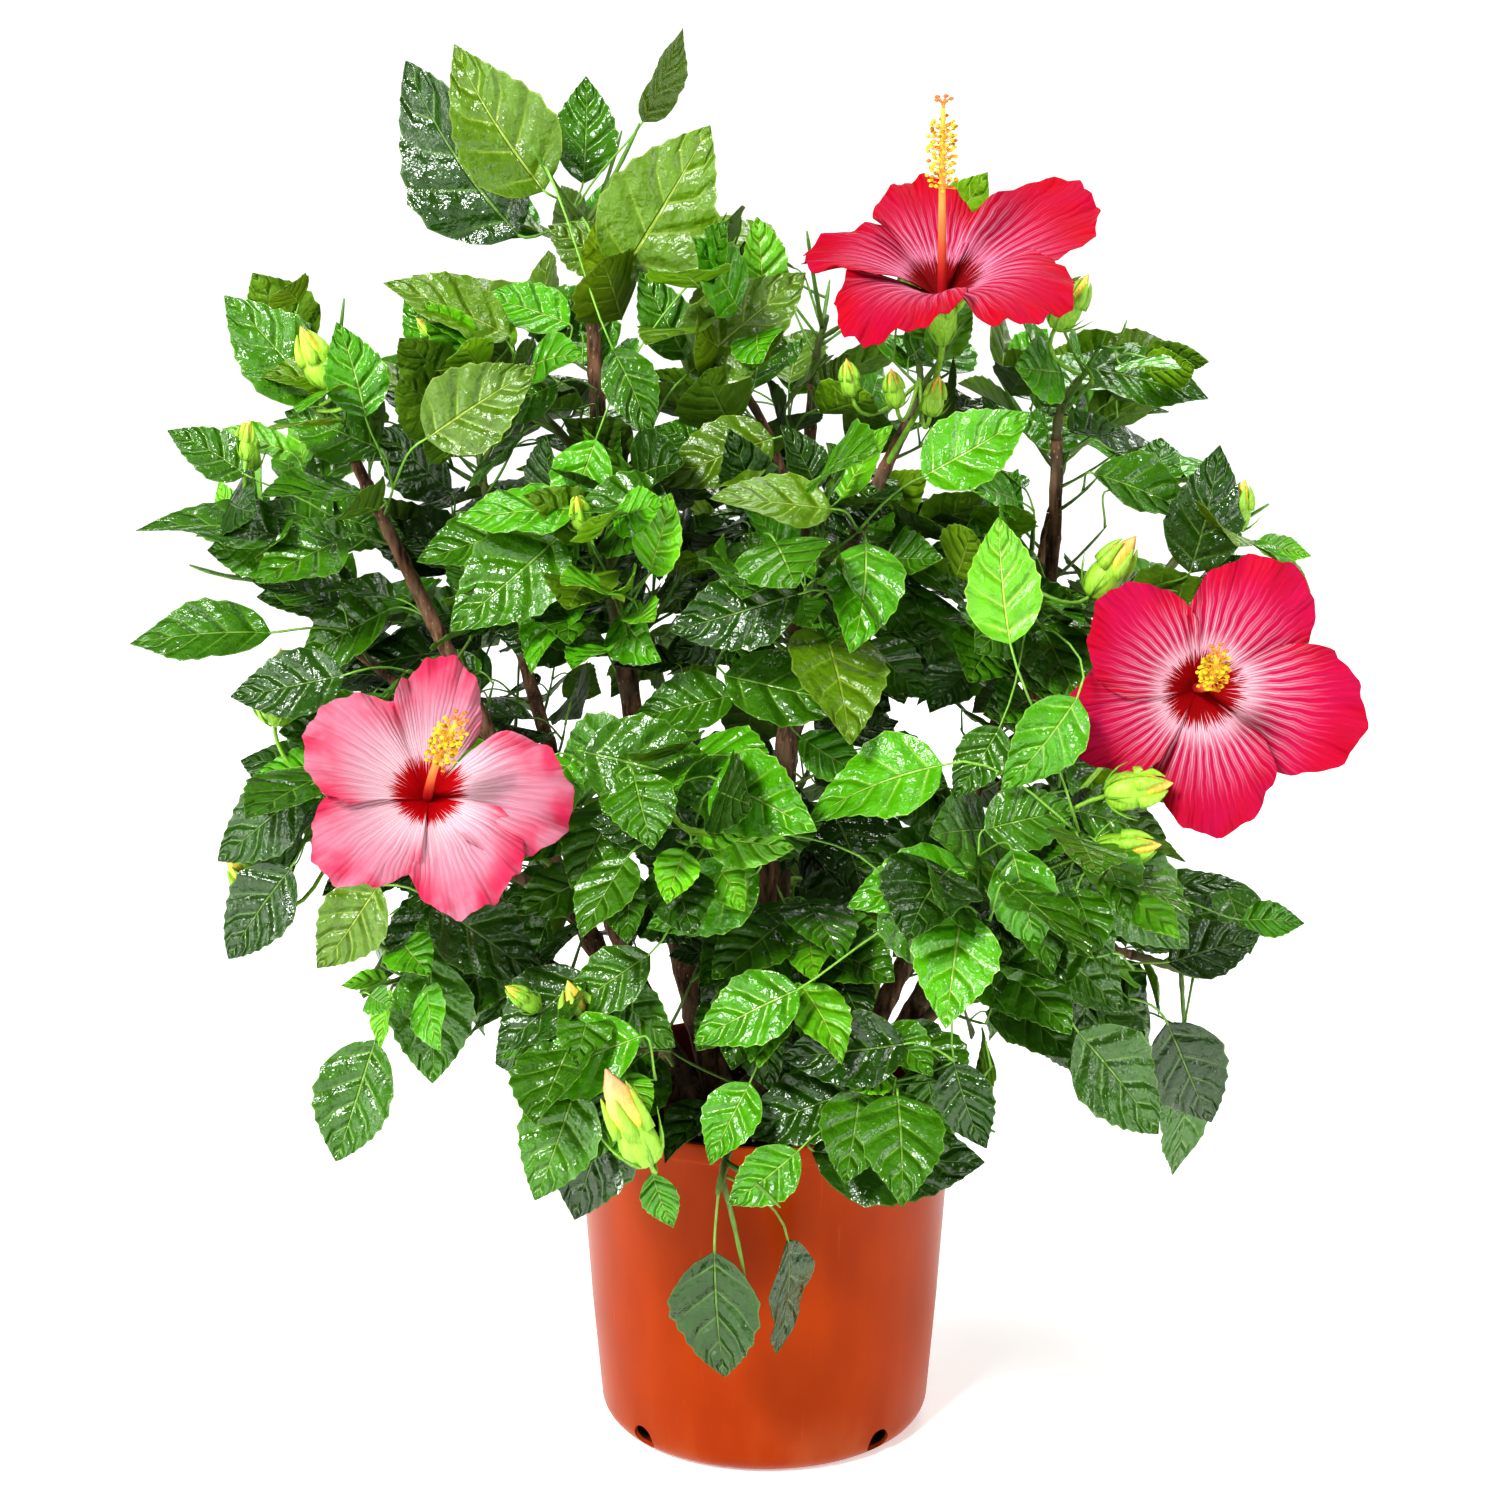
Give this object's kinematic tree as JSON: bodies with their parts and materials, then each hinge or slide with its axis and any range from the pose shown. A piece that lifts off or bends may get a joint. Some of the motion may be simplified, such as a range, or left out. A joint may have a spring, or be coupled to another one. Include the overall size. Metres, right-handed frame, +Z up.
{
  "type": "potted hibiscus shrub",
  "caption": "Bushy flowering hibiscus with several woody stems, toothed glossy leaves and open blooms, rooted in a tapered round nursery pot filled with soil.",
  "frame": {"origin": "centre of the pot's flat underside", "axes": "+Z up through the pot, -Y towards the side with the most blooms, +X to the right seen from that side"},
  "size_m": [0.7794, 0.6443, 0.9381],
  "materials": {
    "pot": "glossy orange-terracotta moulded plastic",
    "soil": "dark moist potting mix with white flecks",
    "bark": "rough grey-brown bark",
    "foliage": "glossy dark to bright green leaves",
    "petals_pale": "soft salmon-pink petals with a deep red eye",
    "petals_deep": "soft hot-pink petals with a deep red eye"
  },
  "bodies": {
    "root": {"pot": "pot", "soil": "soil", "stem_tall": "bark", "stem_left": "bark", "stem_centre": "bark", "stem_right": "bark", "stem_back": "bark", "stem_back_left": "bark", "stem_back_right": "bark", "bough_far_left": "bark", "bough_left_low": "bark", "bough_lower_left": "bark", "bough_front_left": "bark", "bough_low_front_left": "bark", "bough_low_front": "bark", "bough_low_front_right": "bark", "bough_right_front": "bark", "bough_low_right": "bark", "bough_far_right_low": "bark", "bough_far_right": "bark", "bough_top_centre": "bark", "foliage_tall_top": "foliage", "foliage_tall_left": "foliage", "foliage_tall_front": "foliage", "foliage_left_top": "foliage", "foliage_far_left": "foliage", "foliage_left_low": "foliage", "foliage_lower_left": "foliage", "foliage_front_left": "foliage", "foliage_front_low": "foliage", "foliage_front": "foliage", "foliage_low_front_left": "foliage", "foliage_low_front": "foliage", "foliage_low_front_right": "foliage", "foliage_right_front": "foliage", "foliage_low_right": "foliage", "foliage_far_right_low": "foliage", "foliage_right_middle": "foliage", "foliage_far_right": "foliage", "foliage_right_top": "foliage", "foliage_centre_top": "foliage", "foliage_top_centre": "foliage", "foliage_top_back": "foliage", "foliage_back_left": "foliage", "foliage_back_right": "foliage", "foliage_back_middle": "foliage", "foliage_left_back": "foliage", "foliage_right_back": "foliage", "foliage_low_back": "foliage", "foliage_low_back_left": "foliage", "foliage_low_back_right": "foliage", "foliage_inner_left": "foliage", "foliage_inner_right": "foliage", "foliage_inner_low": "foliage", "bloom_left": "petals_pale", "bloom_top": "petals_deep", "bloom_right": "petals_deep"}
  },
  "joints": []
}
